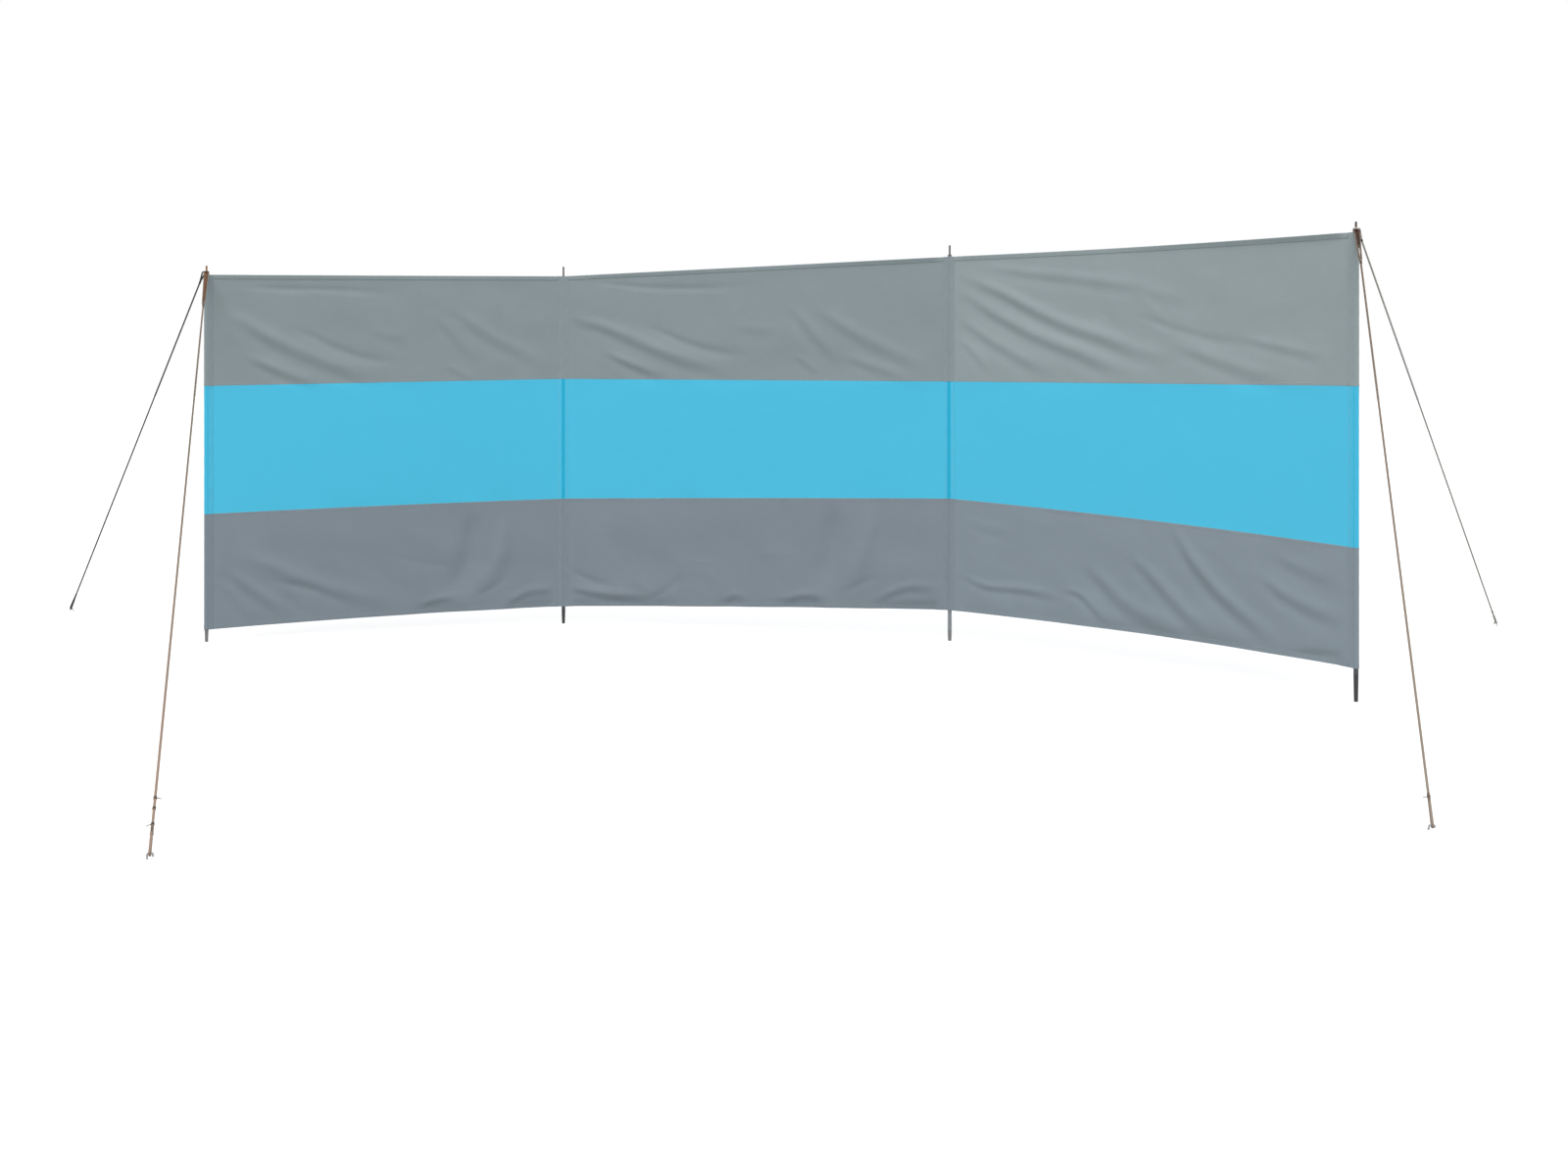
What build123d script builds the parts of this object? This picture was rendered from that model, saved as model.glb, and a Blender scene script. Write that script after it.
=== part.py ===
# Beach windbreak: three bays of striped cloth sleeved over four steel poles, guyed at both ends.
# Millimetres, +Z up. The origin is the middle of the inner left pole's foot, at ground level. +X runs
# along the middle bay to the inner right pole, and both outer bays are wings that come forward to -Y.
# Poles and pegs stop at ground level, where the sand takes over.
import os
from math import acos, atan2, cos, hypot, radians, sin, tan

from build123d import *

# Plan: distance from pole to pole in each bay, and how far each wing is swung forward, in degrees
left_bay = 1418.0
middle_bay = 1650.0
right_bay = 1648.0
left_wing_angle = 33.9
right_wing_angle = 29.2

# Cloth, with one value for each pole from left to right: the height of the bottom edge above the
# ground, and the heights of the lower grey, the blue and the upper grey strip
bottom_edge = (48.0, 73.0, 121.0, 107.0)
lower_strip = (456.0, 457.0, 442.0, 387.0)
blue_strip = (505.5, 508.0, 464.0, 519.0)
upper_strip = (438.5, 435.0, 494.0, 494.0)
cloth_thickness = 1.0
hem_depth = 18.0
hem_layers = 2.4

# How far the wind has bowed the middle of each bay back, along its bottom and its top edge
bottom_bow = (50.0, 36.0, 68.0)
top_bow = (4.0, 4.0, 64.0)

# Sleeves: from the middle of the pole to the line where the sleeve is sewn shut
end_seam_reach = 25.0
inner_seam_reach = 22.0
sleeve_clearance = 0.3
seam_gap = 0.3

# Poles: a thin steel tube, a spike pressed into its foot and a plug with a pin on its top. The spikes
# are pushed to different depths, so each shows another length above the ground
pole_diameter = 16.0
tube_wall = 0.8
fit_clearance = 0.1
spike_height = (56.0, 60.0, 44.0, 88.0)
spike_ground_diameter = (12.0, 12.5, 14.0, 13.0)
spike_spigot = 30.0
plug_rise = (2.0, 3.0, 11.0, 2.0)
plug_rim = 1.5
plug_cone = 5.0
plug_spigot = 24.0
pin_diameter = 7.0
pin_rise = (36.0, 41.0, 46.0, 34.0)
pin_dome = 2.0

# Guys: one to the front and one to the back of each end pole. Reach is from the pin to the peg in
# plan, and bearing is its direction in plan, in degrees from +X
rope_diameter = 6.0
rope_clearance = 0.3
front_left_reach = 2895.0
front_left_bearing = -56.45
back_left_reach = 1195.0
back_left_bearing = 154.1
front_right_reach = 1460.0
front_right_bearing = -89.0
back_right_reach = 1907.0
back_right_bearing = 67.8

# Eyes: each rope is turned round the pin, and round the peg, and spliced back into itself. The long
# front eyes are served with twine from below the pin, which makes them one flat band
front_left_eye_length = 290.0
front_right_eye_length = 130.0
back_eye_length = 26.0
front_left_serving = 278.0
front_right_serving = 74.0
serving_start = 12.0
serving_thickness = 0.4
peg_eye_length = 56.0
splice_length = 26.0
splice_swell = 0.3
strand_gap = 0.1
whipping_length = 9.0
whipping_thickness = 0.8
bend_radius = 20.0

# Pegs: a wire with a crook that the rope's eye lies in, driven square to its guy
peg_diameter = 4.0
crook_height = 16.0
crook_radius = 6.0
crook_tip = 5.0

pole_names = ("left_end", "left_inner", "right_inner", "right_end")
bay_names = ("left", "middle", "right")
strip_names = ("lower", "blue", "upper")

pole_radius = pole_diameter / 2
tube_bore_radius = pole_radius - tube_wall
rope_radius = rope_diameter / 2
pin_radius = pin_diameter / 2
peg_radius = peg_diameter / 2
strand_offset = rope_radius + strand_gap / 2
pocket_radius = pole_radius + sleeve_clearance
sleeve_radius = pocket_radius + cloth_thickness
hem_thickness = cloth_thickness * hem_layers

left_wing = Vector(cos(radians(left_wing_angle)), sin(radians(left_wing_angle)), 0)
right_wing = Vector(cos(radians(right_wing_angle)), -sin(radians(right_wing_angle)), 0)
inner_left = Vector(0, 0, 0)
inner_right = Vector(middle_bay, 0, 0)
pole_places = (inner_left - left_wing * left_bay, inner_left, inner_right, inner_right + right_wing * right_bay)

# The height of each line of the cloth at each pole: bottom edge, two seams and top edge
cloth_lines = [
    (low, low + grey, low + grey + blue, low + grey + blue + top)
    for low, grey, blue, top in zip(bottom_edge, lower_strip, blue_strip, upper_strip)
]
plug_tops = [lines[-1] + rise for lines, rise in zip(cloth_lines, plug_rise)]


def seam_reach(pole):
    """How far from the middle of a pole the cloth between the poles starts."""
    return end_seam_reach if pole in (0, len(pole_places) - 1) else inner_seam_reach


def bowed_sheet(length, low, high, bow_low, bow_high, thickness, start, end):
    """A curved sheet from one sleeve to the next, bowed to +Y, between two heights."""

    def section(bow, height):
        front = ThreePointArc((start, 0), (length / 2, bow), (end, 0)).moved(Location((0, -thickness / 2)))
        back = front.moved(Location((0, thickness)))
        sides = [Line(front @ 0, back @ 0), Line(front @ 1, back @ 1)]
        return Pos(0, 0, height) * make_face([front, back, *sides])

    return loft([section(bow_low, low), section(bow_high, high)], ruled=True)


def between(start, end, low, high, depth):
    """A wedge that keeps what lies between two sloping lines, each given by its height at both ends."""
    outline = Polyline((start, low[0]), (end, low[1]), (end, high[1]), (start, high[0]), close=True)
    return extrude(Plane.XZ * make_face(outline), amount=depth, both=True)


def bay_cloth(bay):
    """The three strips of one bay, with a folded hem along its bottom and its top edge."""
    left, right = pole_places[bay], pole_places[bay + 1]
    length = (right - left).length
    place = Plane(left, x_dir=right - left, z_dir=(0, 0, 1))
    start = seam_reach(bay) + seam_gap
    end = length - seam_reach(bay + 1) - seam_gap
    lines = list(zip(cloth_lines[bay], cloth_lines[bay + 1]))
    low, high = min(lines[0]), max(lines[-1])
    bows = (bottom_bow[bay], top_bow[bay])
    sheet = bowed_sheet(length, low, high, *bows, cloth_thickness, start, end)
    folded = bowed_sheet(length, low, high, *bows, hem_thickness, start, end)
    depth = max(bows) + hem_thickness

    def cut(solid, below, above):
        return solid & between(start, end, below, above, depth)

    strips = [cut(sheet, below, above) for below, above in zip(lines, lines[1:])]
    hem_top = [height + hem_depth for height in lines[0]]
    hem_foot = [height - hem_depth for height in lines[-1]]
    strips[0] += cut(folded, lines[0], hem_top)
    strips[-1] += cut(folded, hem_foot, lines[-1])
    return [place * strip for strip in strips]


def pocket_outline(pole, radius, reach, tip_radius):
    """The outline of a sleeve in plan: round the pole, and drawn out to each line of stitches."""
    place = pole_places[pole]
    neighbours = [pole_places[n] for n in (pole - 1, pole + 1) if 0 <= n < len(pole_places)]
    rounds = [Pos(*place) * Circle(radius)]
    for neighbour in neighbours:
        tip = place + (neighbour - place).normalized() * (reach - tip_radius)
        rounds.append(Pos(*tip) * Circle(tip_radius))
    return make_hull(ShapeList(edge for item in rounds for edge in item.edges()))


def sleeve(pole, low, high):
    """One strip's part of the sleeve round a pole."""
    reach = seam_reach(pole)
    outside = pocket_outline(pole, sleeve_radius, reach, cloth_thickness)
    inside = pocket_outline(pole, pocket_radius, reach - 2 * cloth_thickness, cloth_thickness / 4)
    return Pos(0, 0, low) * extrude(outside - inside, amount=high - low)


def tube(pole):
    """A pole's steel tube, from the top of its spike to the rim of its plug."""
    length = plug_tops[pole] - plug_cone - plug_rim - spike_height[pole]
    ring = Circle(pole_radius) - Circle(tube_bore_radius)
    return Pos(0, 0, spike_height[pole]) * extrude(ring, amount=length)


def turned(*outline):
    """A turned piece, from the (radius, height) corners of its outline beside the pole's axis."""
    profile = Plane.XZ * make_face(Polyline(*outline, close=True))
    return revolve(profile, Axis.Z)


def spike(pole):
    """A spike that tapers into the ground, with a spigot up into the tube."""
    spigot = tube_bore_radius - fit_clearance
    at_ground = spike_ground_diameter[pole] / 2
    base = spike_height[pole]
    top = base + spike_spigot
    return turned((0, 0), (at_ground, 0), (pole_radius, base), (spigot, base), (spigot, top), (0, top))


def plug(pole):
    """A plug on the tube's end that narrows to the pin on which the guys are hooked."""
    cone_top = plug_tops[pole]
    pin_top = cloth_lines[pole][-1] + pin_rise[pole]
    rim_top = cone_top - plug_cone
    base = rim_top - plug_rim
    foot_end = base - plug_spigot
    spigot = tube_bore_radius - fit_clearance
    body = turned(
        (0, foot_end),
        (spigot, foot_end),
        (spigot, base),
        (pole_radius, base),
        (pole_radius, rim_top),
        (pin_radius, cone_top),
        (pin_radius, pin_top),
        (0, pin_top),
    )
    rim = body.edges().filter_by(GeomType.CIRCLE).sort_by(Axis.Z)[-1]
    return fillet(rim, min(pin_dome, 0.9 * pin_radius))


def rope(path):
    """Rope along a line."""
    return sweep(Plane(path @ 0, z_dir=path % 0) * Circle(rope_radius), path=path)


def splice():
    """Where an eye's two strands, apart along Y, grow into one rope along +X, with a whipping at the end."""
    end = rope_radius + splice_swell
    wide = Plane.YZ * Ellipse(end + strand_offset, end)
    narrow = Plane.YZ.offset(splice_length) * Ellipse(end, end)
    whipping = Cylinder(rope_radius + whipping_thickness, whipping_length, rotation=(0, 90, 0))
    return loft([wide, narrow], ruled=True) + Pos(splice_length, 0, 0) * whipping


def serving(eye, eye_length, end):
    """Twine wound round both strands of an eye, from below the pin to its end, running along +X."""

    def section(distance):
        share = distance / (eye_length + splice_length / 4)
        apart = eye + (strand_offset - eye) * share
        rounds = [Pos(side * apart, 0) * Circle(rope_radius + serving_thickness) for side in (-1, 1)]
        outline = make_hull(ShapeList(edge for item in rounds for edge in item.edges()))
        return Plane.YZ.offset(distance) * outline

    return loft([section(serving_start), section(end)], ruled=True)


def slope_frame(place, slope):
    """At a place, X down a guy and Z square to it, leaning away from the pole."""
    return Plane(place, x_dir=(cos(slope), 0, -sin(slope)), z_dir=(sin(slope), 0, cos(slope)))


def guy(pin_place, level, eye_length, serving_end, reach, bearing):
    """The rope and the peg of one guy."""
    eye = pin_radius + rope_radius + rope_clearance
    drop = pin_place.Z + level - crook_height
    bend, slope = 0, 0
    for _ in range(4):
        slope = atan2(drop, reach - bend)
        bend = eye + rope_radius + rope_clearance + bend_radius * tan(slope / 2)

    # The eye lies level round the pin, and both its strands bend down to the splice
    down = slope_frame((bend, 0, 0), slope)
    to_peg = hypot(drop, reach - bend)
    buried = splice_length / 4
    sides = [down.from_local_coords((eye_length + buried, side * strand_offset, 0)) for side in (-1, 1)]
    over_pin = [
        FilletPolyline(sides[0], (bend, -eye, 0), (0, -eye, 0), radius=bend_radius),
        ThreePointArc((0, -eye, 0), (-eye, 0, 0), (0, eye, 0)),
        FilletPolyline((0, eye, 0), (bend, eye, 0), sides[1], radius=bend_radius),
    ]
    line = rope(Wire([edge for item in over_pin for edge in item.edges()]))
    line += down * Pos(eye_length, 0, 0) * splice()
    if serving_end:
        line += down * serving(eye, eye_length, serving_end)

    # The eye at the peg stands upright: two tangents from the splice and an arc round the crook
    crook = Plane(down.from_local_coords((to_peg, 0, 0)), x_dir=-down.x_dir, z_dir=-down.y_dir)
    peg_eye = peg_radius + rope_radius + rope_clearance
    start = Vector(peg_eye_length + buried, strand_offset)
    touch = atan2(start.Y, start.X) + acos(peg_eye / start.length)
    tangent = Vector(peg_eye * cos(touch), peg_eye * sin(touch))
    round_crook = [
        Line(start, tangent),
        ThreePointArc(tangent, (-peg_eye, 0), (tangent.X, -tangent.Y)),
        Line((tangent.X, -tangent.Y), (start.X, -start.Y)),
    ]
    line += crook * rope(Wire(round_crook))
    line += crook * Pos(peg_eye_length, 0, 0) * splice()
    straight = Line(
        down.from_local_coords((eye_length + splice_length / 2, 0, 0)),
        down.from_local_coords((to_peg - peg_eye_length - splice_length / 2, 0, 0)),
    )
    line += rope(straight)

    # The peg: a wire, up out of the ground, over the crook and down to its tip
    up = Plane(crook.origin, x_dir=down.y_dir, z_dir=down.x_dir)
    wire = Wire(
        [
            Line((-crook_radius, -3 * crook_height), (-crook_radius, -crook_radius)),
            ThreePointArc((-crook_radius, -crook_radius), (0, 0), (crook_radius, -crook_radius)),
            Line((crook_radius, -crook_radius), (crook_radius, -crook_radius - crook_tip)),
        ]
    )
    peg = up * sweep(Plane(wire @ 0, z_dir=wire % 0) * Circle(peg_radius), path=wire)

    heading = Vector(1, 0, 0).rotate(Axis.Z, bearing)
    place = Plane(pin_place + Vector(0, 0, level), x_dir=heading, z_dir=(0, 0, 1))
    return place * line, split(place * peg, bisect_by=Plane.XY, keep=Keep.TOP)


nodes = {}
for number, name in enumerate(bay_names):
    for strip, solid in zip(strip_names, bay_cloth(number)):
        nodes[f"{strip}_strip_{name}_bay"] = solid

for number, (name, place) in enumerate(zip(pole_names, pole_places)):
    lines = cloth_lines[number]
    for strip, low, high in zip(strip_names, lines, lines[1:]):
        nodes[f"{strip}_sleeve_{name}"] = sleeve(number, low, high)
    nodes[f"pole_tube_{name}"] = Pos(*place) * tube(number)
    nodes[f"pole_spike_{name}"] = Pos(*place) * spike(number)
    nodes[f"pole_pin_{name}"] = Pos(*place) * plug(number)

# On each end pole the front guy's eye lies on the plug, and the back guy's eye lies on that one
first_level = rope_clearance + rope_radius
second_level = first_level + rope_diameter + rope_clearance
front_left_eye = (first_level, front_left_eye_length, front_left_serving)
front_right_eye = (first_level, front_right_eye_length, front_right_serving)
back_eye = (second_level, back_eye_length, 0)
guys = {
    "front_left": (*front_left_eye, front_left_reach, front_left_bearing),
    "back_left": (*back_eye, back_left_reach, back_left_bearing),
    "front_right": (*front_right_eye, front_right_reach, front_right_bearing),
    "back_right": (*back_eye, back_right_reach, back_right_bearing),
}
for name, layout in guys.items():
    pole = pole_names.index("left_end" if name.endswith("left") else "right_end")
    pin_place = pole_places[pole] + Vector(0, 0, plug_tops[pole])
    nodes[f"guy_{name}"], nodes[f"peg_{name}"] = guy(pin_place, *layout)

os.makedirs("parts", exist_ok=True)
for name, solid in nodes.items():
    export_step(solid, f"parts/{name}.step")
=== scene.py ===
# Beach windbreak, dressed: woven cloth with its folds, hems and seams, sewn sleeves, painted poles,
# spliced rope guys with whippings, and wire pegs. Metres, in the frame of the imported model.
import math
from types import SimpleNamespace

import bmesh
import bpy
import numpy as np
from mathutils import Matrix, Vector
from mathutils.geometry import convex_hull_2d


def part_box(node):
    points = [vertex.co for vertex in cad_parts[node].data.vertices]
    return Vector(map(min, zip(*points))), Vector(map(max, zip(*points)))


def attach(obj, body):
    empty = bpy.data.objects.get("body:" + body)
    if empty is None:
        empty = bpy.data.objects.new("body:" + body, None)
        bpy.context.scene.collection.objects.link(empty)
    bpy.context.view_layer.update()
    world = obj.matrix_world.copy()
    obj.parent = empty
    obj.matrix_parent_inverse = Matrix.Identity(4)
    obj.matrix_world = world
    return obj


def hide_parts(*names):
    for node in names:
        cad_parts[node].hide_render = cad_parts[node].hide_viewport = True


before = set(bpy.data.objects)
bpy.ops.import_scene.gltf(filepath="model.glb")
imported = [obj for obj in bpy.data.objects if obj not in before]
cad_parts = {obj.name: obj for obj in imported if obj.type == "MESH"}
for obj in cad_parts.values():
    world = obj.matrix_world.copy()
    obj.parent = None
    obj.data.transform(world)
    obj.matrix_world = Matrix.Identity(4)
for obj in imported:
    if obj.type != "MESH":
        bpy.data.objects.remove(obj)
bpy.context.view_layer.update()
scene = bpy.context.scene
mm = 0.001
poleNames = ("left_end", "left_inner", "right_inner", "right_end")
bayNames = ("left", "middle", "right")
stripNames = ("lower", "blue", "upper")
up = np.array((0.0, 0.0, 1.0))


# Small helpers

def linear(hexColour):
    parts = [int(hexColour[i:i + 2], 16) / 255 for i in (1, 3, 5)]
    return [p / 12.92 if p <= 0.04045 else ((p + 0.055) / 1.055) ** 2.4 for p in parts] + [1.0]


def addNode(tree, kind, inputs=None, **settings):
    node = tree.nodes.new(kind)
    for name, value in settings.items():
        setattr(node, name, value)
    for name, value in (inputs or {}).items():
        if isinstance(value, bpy.types.NodeSocket):
            tree.links.new(value, node.inputs[name])
        else:
            node.inputs[name].default_value = value
    return node


def made(tree, kind, inputs=None, **settings):
    # The first output of a new node
    return addNode(tree, kind, inputs, **settings).outputs[0]


def newMaterial(name, **values):
    material = bpy.data.materials.new(name)
    material.use_nodes = True
    tree = material.node_tree
    tree.nodes.clear()
    shader = addNode(tree, "ShaderNodeBsdfPrincipled", values)
    addNode(tree, "ShaderNodeOutputMaterial", {"Surface": shader.outputs[0]})
    return material, tree, shader


def maths(tree, operation, *values):
    return made(tree, "ShaderNodeMath", dict(enumerate(values)), operation=operation)


def mixed(tree, share, first, second, blend="MIX"):
    inputs = {0: share, 6: first, 7: second}
    return addNode(tree, "ShaderNodeMix", inputs, data_type="RGBA", blend_type=blend).outputs[2]


def smooth(value, low, high):
    share = np.clip((value - low) / (high - low), 0, 1)
    return share * share * (3 - 2 * share)


def inScene(name, data):
    item = bpy.data.objects.new(name, data)
    scene.collection.objects.link(item)
    return item


def loft(name, rings, uv=None, joined=False):
    # Closed loops one after the other; joined brings the last back to the first, or else the ends are closed
    count, size = rings.shape[:2]
    here = np.arange(count if joined else count - 1)
    there = (here + 1) % count
    side = np.arange(size)
    after = (side + 1) % size
    # The corners of a face: ring, point, and the ring that its uv is read from, which runs on past the last
    corners = [(here, side, here), (here, after, here), (there, after, here + 1), (there, side, here + 1)]
    faces = np.stack([row[:, None] * size + column for row, column, _ in corners], axis=-1)
    faces = faces.reshape(-1, 4).tolist()
    if not joined:
        for end in (0, (count - 1) * size):
            last = end + size - 1
            faces += [[end + i, end + i + 1, last - 1 - i, last - i] for i in range(size // 2 - 1)]
    mesh = bpy.data.meshes.new(name)
    mesh.from_pydata(rings.reshape(-1, 3).tolist(), [], faces)
    if uv is not None:
        walls = np.stack([uv[row[:, None], column] for _, column, row in corners], axis=2).reshape(-1, 2)
        layer = mesh.uv_layers.new(name="metres")
        flat = uv[:count].reshape(-1, 2)
        caps = [flat[corner] for face in faces[len(walls) // 4:] for corner in face]
        layer.data.foreach_set("uv", np.concatenate([walls, *[c[None] for c in caps]]).ravel())
    mesh.shade_smooth()
    return inScene(name, mesh)


def tidied(piece, sharp=50):
    # Outward faces, and a crisp edge where a wall turns its corner
    shape = bmesh.new()
    shape.from_mesh(piece.data)
    bmesh.ops.recalc_face_normals(shape, faces=shape.faces)
    shape.to_mesh(piece.data)
    shape.free()
    piece.data.set_sharp_from_angle(angle=math.radians(sharp))
    return piece


def dressed(piece, material, slot, *nodes):
    piece.data.materials.clear()
    piece.data.materials.append(material)
    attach(piece, "root")
    if nodes:
        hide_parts(*nodes)
    return piece


def joinedPieces(name, pieces):
    with bpy.context.temp_override(active_object=pieces[0], selected_editable_objects=pieces):
        bpy.ops.object.join()
    pieces[0].name = name
    return pieces[0]


# Geometry Nodes: a tree starts from lines of edges and ends in one mesh with its material

def newTree(name, *lengths, **others):
    tree = bpy.data.node_groups.new(name, "GeometryNodeTree")
    tree.interface.new_socket("Geometry", in_out="INPUT", socket_type="NodeSocketGeometry")
    for label, kind in {**dict.fromkeys(lengths, "Float"), **others, "Material": "Material"}.items():
        tree.interface.new_socket(label, in_out="INPUT", socket_type="NodeSocket" + kind)
    tree.interface.new_socket("Geometry", in_out="OUTPUT", socket_type="NodeSocketGeometry")
    return tree, addNode(tree, "NodeGroupInput").outputs


def endTree(tree, start, geometry):
    real = made(tree, "GeometryNodeRealizeInstances", {"Geometry": geometry})
    painted = {"Geometry": real, "Material": start["Material"]}
    addNode(tree, "NodeGroupOutput", {"Geometry": made(tree, "GeometryNodeSetMaterial", painted)})
    return tree


def curveOf(tree, start, step=None):
    # The lines handed in as curves, and with a step they get a point at each
    curve = made(tree, "GeometryNodeMeshToCurve", {"Mesh": start["Geometry"]})
    if step is None:
        return curve
    return made(tree, "GeometryNodeResampleCurve", {"Curve": curve, "Length": step}, mode="LENGTH")


def circleOf(tree, sides, radius):
    return made(tree, "GeometryNodeCurvePrimitiveCircle", {"Resolution": sides, "Radius": radius})


def tubeOf(tree, curve, section, capped=False):
    skin = {"Curve": curve, "Profile Curve": section, "Fill Caps": capped}
    return made(tree, "GeometryNodeCurveToMesh", skin)


def stored(tree, geometry, name, value, kind="FLOAT"):
    inputs = {"Geometry": geometry, "Name": name, "Value": value}
    return made(tree, "GeometryNodeStoreNamedAttribute", inputs, data_type=kind)


def recalled(tree, name):
    return made(tree, "GeometryNodeInputNamedAttribute", {"Name": name})


def moved(tree, geometry, direction, reach):
    shift = made(tree, "ShaderNodeVectorMath", {0: direction, "Scale": reach}, operation="SCALE")
    return made(tree, "GeometryNodeSetPosition", {"Geometry": geometry, "Offset": shift})


def laidAlong(tree, curve, piece):
    # A copy of the piece at each point of the curve, turned along it
    spots = addNode(tree, "GeometryNodeCurveToPoints", {"Curve": curve}, mode="EVALUATED").outputs
    laid = {"Points": spots["Points"], "Instance": piece, "Rotation": spots["Rotation"]}
    return made(tree, "GeometryNodeInstanceOnPoints", laid)


def shadedSmooth(tree, geometry):
    return made(tree, "GeometryNodeSetShadeSmooth", {"Geometry": geometry})


def grown(name, lines, tree, **values):
    # Runs a tree along lines of points, and gives its result as a plain mesh
    points, edges = [], []
    for line in lines:
        first = len(points)
        points += [list(p) for p in line]
        edges += [(first + i, first + i + 1) for i in range(len(line) - 1)]
    path = bpy.data.meshes.new(name + "Path")
    path.from_pydata(points, edges, [])
    carrier = inScene(name + "Path", path)
    modifier = carrier.modifiers.new(tree.name, "NODES")
    modifier.node_group = tree
    for item in tree.interface.items_tree:
        if item.in_out == "INPUT" and item.name in values:
            modifier[item.identifier] = values[item.name]
    depsgraph = bpy.context.evaluated_depsgraph_get()
    mesh = bpy.data.meshes.new_from_object(carrier.evaluated_get(depsgraph), depsgraph=depsgraph)
    bpy.data.objects.remove(carrier)
    mesh.name = name
    return inScene(name, mesh)


# Measures from the frame: where the poles stand, and the cloth's edges and seams at each

def middleOf(node):
    low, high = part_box(node)
    return np.array((low + high) / 2)


polePlaces = [middleOf("pole_tube_" + pole)[:2] for pole in poleNames]
clothLines = []
for pole in poleNames:
    tops = [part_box(f"{strip}_sleeve_{pole}")[1].z for strip in stripNames]
    clothLines.append([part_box("lower_sleeve_" + pole)[0].z, *tops])


# Camera, lamps and floor

view = {"place": (2.594, -6.018, 1.03), "heading": (-0.2606, 0.9655, 0.0), "lens": 35.08, "shift": -0.1322}
lamps = {  # a strength of 1, square on, shows a colour as it is written
    "key": {"from": (0, -0.5, 0.83), "strength": 0.72, "softness": 35},
    "rightSide": {"from": (0.9, -0.1, 0.4), "strength": 0.15, "softness": 40},
    "leftSide": {"from": (-0.9, -0.1, 0.4), "strength": 0.135, "softness": 40},
    "rear": {"from": (0.05, 0.8, 0.5), "strength": 0.4, "softness": 50},
}
surround = {"ambient": 0.74, "floorTone": "#A0A0A0", "floorGlow": 0.62, "floorSize": 160}


def makeCamera():
    data = bpy.data.cameras.new("camera")
    data.lens = view["lens"]
    data.shift_y = view["shift"]
    scene.camera = inScene("camera", data)
    scene.camera.location = view["place"]
    scene.camera.rotation_euler = Vector(view["heading"]).to_track_quat("-Z", "Y").to_euler()


def seenDirectly(tree):
    # 1 for what the camera, a gloss or a clear piece looks at, and 0 for light on the object
    path = addNode(tree, "ShaderNodeLightPath").outputs
    seen = maths(tree, "MAXIMUM", path["Is Camera Ray"], path["Is Glossy Ray"])
    return maths(tree, "MAXIMUM", seen, path["Is Transmission Ray"])


def makeLight():
    for name, lamp in lamps.items():
        sun = bpy.data.lights.new(name, "SUN")
        sun.energy = math.pi * lamp["strength"]
        sun.angle = math.radians(lamp["softness"])
        turned = Vector(lamp["from"]).to_track_quat("Z", "Y").to_euler()
        inScene(name, sun).rotation_euler = turned
    scene.world = bpy.data.worlds.new("surround")
    scene.world.use_nodes = True
    tree = scene.world.node_tree
    tree.nodes.clear()
    strength = maths(tree, "MAXIMUM", seenDirectly(tree), surround["ambient"])
    white = made(tree, "ShaderNodeBackground", {"Color": linear("#FFFFFF"), "Strength": strength})
    addNode(tree, "ShaderNodeOutputWorld", {"Surface": white})


def makeFloor():
    half = surround["floorSize"] / 2
    corners = [(-half, -half, 0), (half, -half, 0), (half, half, 0), (-half, half, 0)]
    mesh = bpy.data.meshes.new("floor")
    mesh.from_pydata(corners, [], [(0, 1, 2, 3)])
    tone = linear(surround["floorTone"])
    surface = {"Base Color": tone, "Roughness": 1.0, "Emission Color": linear("#FFFFFF")}
    material, tree, shader = newMaterial("paleStudioFloor", **surface)
    glow = maths(tree, "MULTIPLY", seenDirectly(tree), surround["floorGlow"])
    tree.links.new(glow, shader.inputs["Emission Strength"])
    mesh.materials.append(material)
    inScene("floor", mesh)


scene.view_settings.view_transform = "Standard"
makeCamera()
makeLight()
makeFloor()
print("camera, light and floor ready")


# Materials

def noise(tree, place, scale, detail, **more):
    inputs = {"Vector": place, "Scale": scale, "Detail": detail, **more}
    return made(tree, "ShaderNodeTexNoise", inputs)


def ranged(tree, value, low=0.0, high=1.0, to=(0.0, 1.0)):
    limits = {"Value": value, "From Min": low, "From Max": high, "To Min": to[0], "To Max": to[1]}
    return made(tree, "ShaderNodeMapRange", limits)


def bumped(tree, height, distance, strength, **more):
    inputs = {"Height": height, "Distance": distance, "Strength": strength, **more}
    return made(tree, "ShaderNodeBump", inputs)


def surfaced(tree, shader, colour, normal):
    tree.links.new(colour, shader.inputs["Base Color"])
    tree.links.new(normal, shader.inputs["Normal"])


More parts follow.
